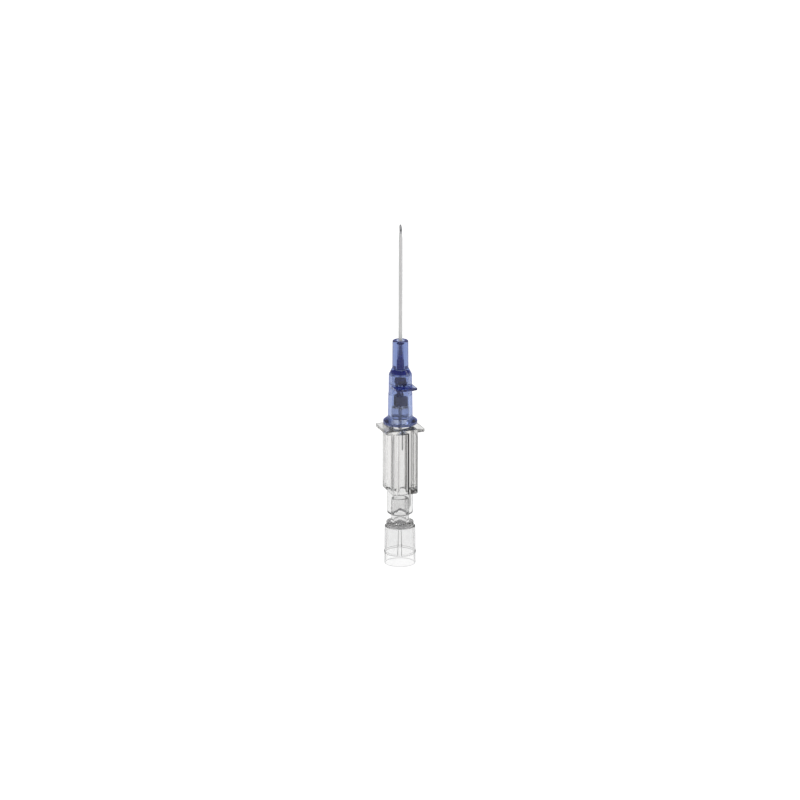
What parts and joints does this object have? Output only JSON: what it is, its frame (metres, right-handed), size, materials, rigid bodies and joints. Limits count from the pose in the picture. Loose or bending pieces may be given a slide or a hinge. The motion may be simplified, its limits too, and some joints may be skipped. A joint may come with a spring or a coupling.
{
  "type": "iv cannula",
  "caption": "Peripheral venous catheter over a hollow bevelled needle, with a clear grip and flash chamber, a coloured luer hub with a push-off tab, and a spring safety clip inside.",
  "frame": {"origin": "centre of the flat foot of the flash plug, on the needle's axis", "axes": "+Z along the needle towards its tip, -Y on the side of the push-off tab and of the needle's bevel, +X across the two sunken side panels of the grip"},
  "size_m": [0.0094, 0.009, 0.0815],
  "materials": {
    "plug_plastic": "clear, polished",
    "filter_grey": "porous, matt",
    "clear_plastic": "clear, polished",
    "needle_steel": "drawn and polished",
    "clip_steel": "rolled strip",
    "blue_plastic": "translucent, polished",
    "eyelet_steel": "drawn",
    "tube_plastic": "smooth, slightly milky"
  },
  "bodies": {
    "plug": {"flash_plug": "plug_plastic", "vent_filter": "filter_grey"},
    "needle_unit": {"needle_hub": "clear_plastic", "needle": "needle_steel"},
    "clip": {"safety_clip": "clip_steel"},
    "catheter": {"catheter_hub": "blue_plastic", "catheter_tube": "tube_plastic", "eyelet": "eyelet_steel"}
  },
  "joints": [
    {"name": "plug_pull", "type": "slide", "parent": "plug", "child": "needle_unit", "axis": [0, 0, 1], "range_m": [0, 0.006]},
    {"name": "clip_travel", "type": "slide", "parent": "needle_unit", "child": "clip", "axis": [0, 0, 1], "range_m": [0, 0.0366]},
    {"name": "catheter_advance", "type": "slide", "parent": "clip", "child": "catheter", "axis": [0, 0, 1], "range_m": [0, 0.0125]}
  ]
}
